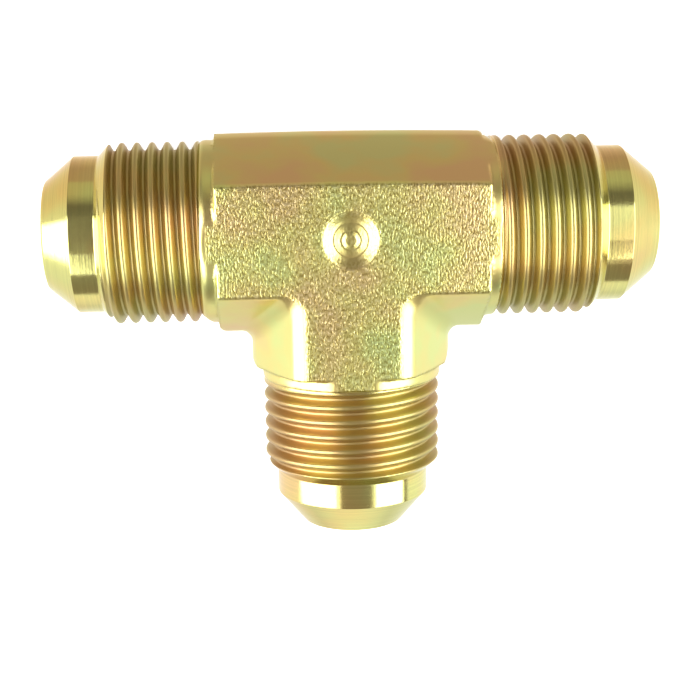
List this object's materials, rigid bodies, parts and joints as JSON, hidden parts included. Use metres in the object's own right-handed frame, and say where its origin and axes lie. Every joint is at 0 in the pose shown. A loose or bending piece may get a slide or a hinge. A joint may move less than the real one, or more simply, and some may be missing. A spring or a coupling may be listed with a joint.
{
  "type": "flare fitting",
  "caption": "Forged steel union tee with male 37 degree flare ends for joining flared tubes or hoses at a right angle.",
  "frame": {"origin": "where the axes of the run and the branch cross", "axes": "+X along the run, -Y out along the branch, +Z square to the forging's flats"},
  "size_m": [0.0644, 0.0428, 0.019],
  "materials": {
    "forged_plate": "yellow zinc plate over a rough forged surface",
    "turned_plate": "bright yellow zinc plate over turned steel"
  },
  "bodies": {
    "root": {"forged_body": "forged_plate", "run_end_left": "turned_plate", "run_end_right": "turned_plate", "branch_end": "turned_plate"}
  },
  "joints": []
}
